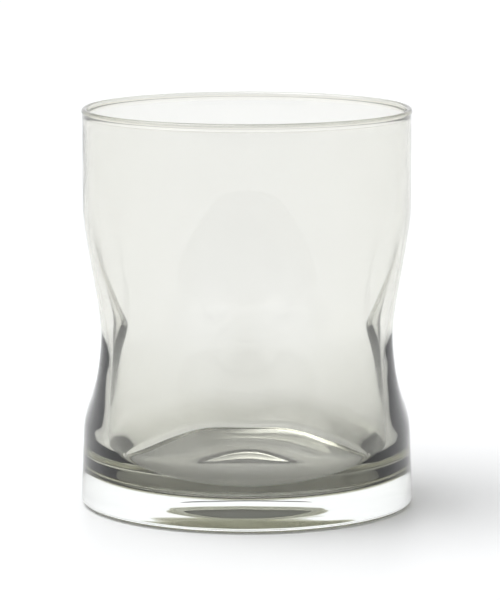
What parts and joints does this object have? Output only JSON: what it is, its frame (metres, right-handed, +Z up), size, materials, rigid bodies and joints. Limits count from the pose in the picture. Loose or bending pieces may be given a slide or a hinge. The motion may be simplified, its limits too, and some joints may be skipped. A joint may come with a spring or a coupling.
{
  "type": "whiskey tumbler",
  "caption": "Mouth-blown cased-glass tumbler: clear heavy foot, thin smoke-grey lining, thumb dimples pinched into the wall and a ground pontil hollow underneath.",
  "frame": {"origin": "centre of the foot, on the surface the tumbler stands on", "axes": "+Z up through the middle of the bowl; a thumb dimple is centred on each of +X, -X, +Y and -Y; the front of the picture is -Y"},
  "size_m": [0.0838, 0.0838, 0.1],
  "materials": {
    "clear_glass": "clear soda-lime glass, fire polished, ground and polished underneath",
    "smoke_glass": "smoke-grey soda-lime glass with an olive cast, fire polished"
  },
  "bodies": {
    "root": {"clear_casing": "clear_glass", "smoke_lining": "smoke_glass"}
  },
  "joints": []
}
